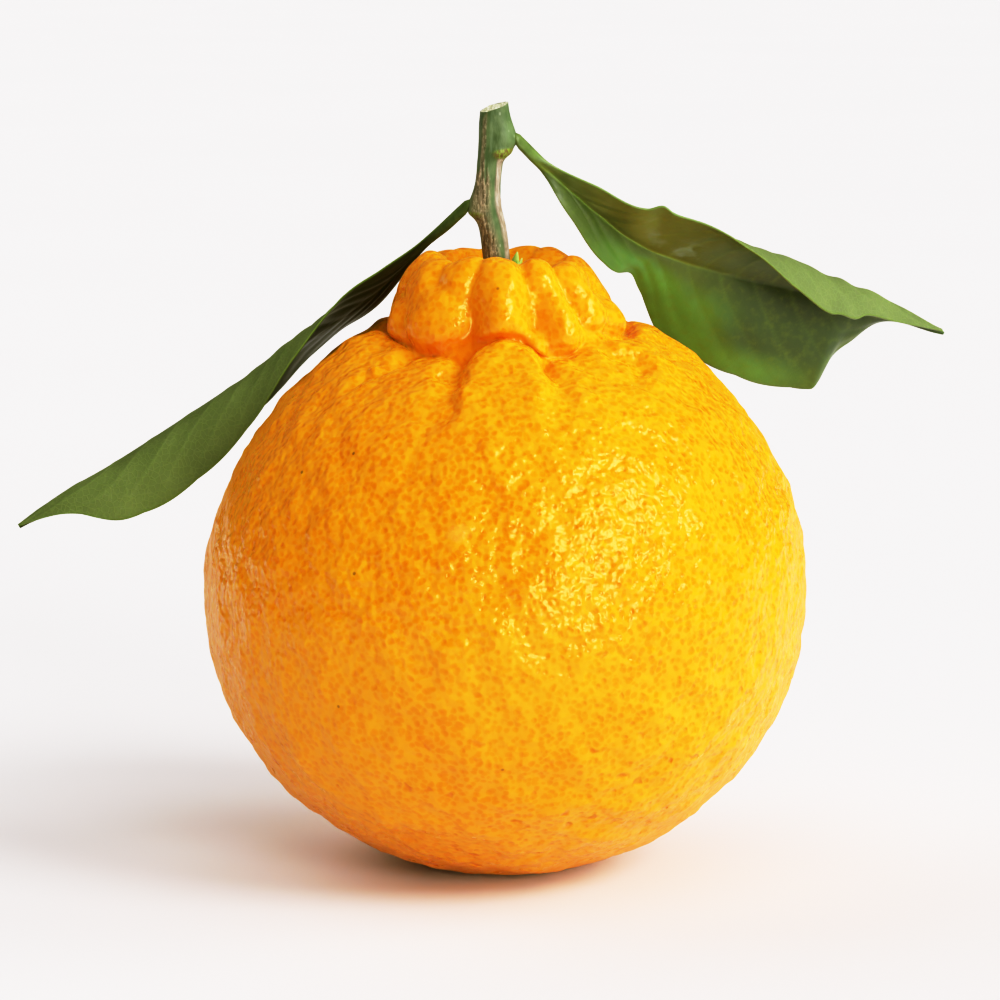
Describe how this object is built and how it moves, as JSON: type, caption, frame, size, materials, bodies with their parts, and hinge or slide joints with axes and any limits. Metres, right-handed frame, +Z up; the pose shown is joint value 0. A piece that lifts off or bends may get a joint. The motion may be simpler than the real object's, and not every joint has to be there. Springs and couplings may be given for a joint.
{
  "type": "dekopon",
  "caption": "Dekopon citrus fruit with a lobed knob at its top, standing on its base, with a short cut stem and drooping leaves.",
  "frame": {"origin": "centre of the small flat spot under the fruit that it rests on", "axes": "+Z up through the fruit towards the stem, +X towards the leaf on the right of the picture, -Y towards the picture's camera"},
  "size_m": [0.1437, 0.0905, 0.1148],
  "materials": {
    "peel": "waxy citrus peel with oil glands",
    "calyx": "matte green plant tissue",
    "bark": "young green bark with corky streaks",
    "leaf": "smooth citrus leaf, glossy above and matte below"
  },
  "bodies": {
    "root": {"fruit": "peel", "calyx": "calyx", "stem": "bark", "leaf_left": "leaf", "leaf_right": "leaf"}
  },
  "joints": []
}
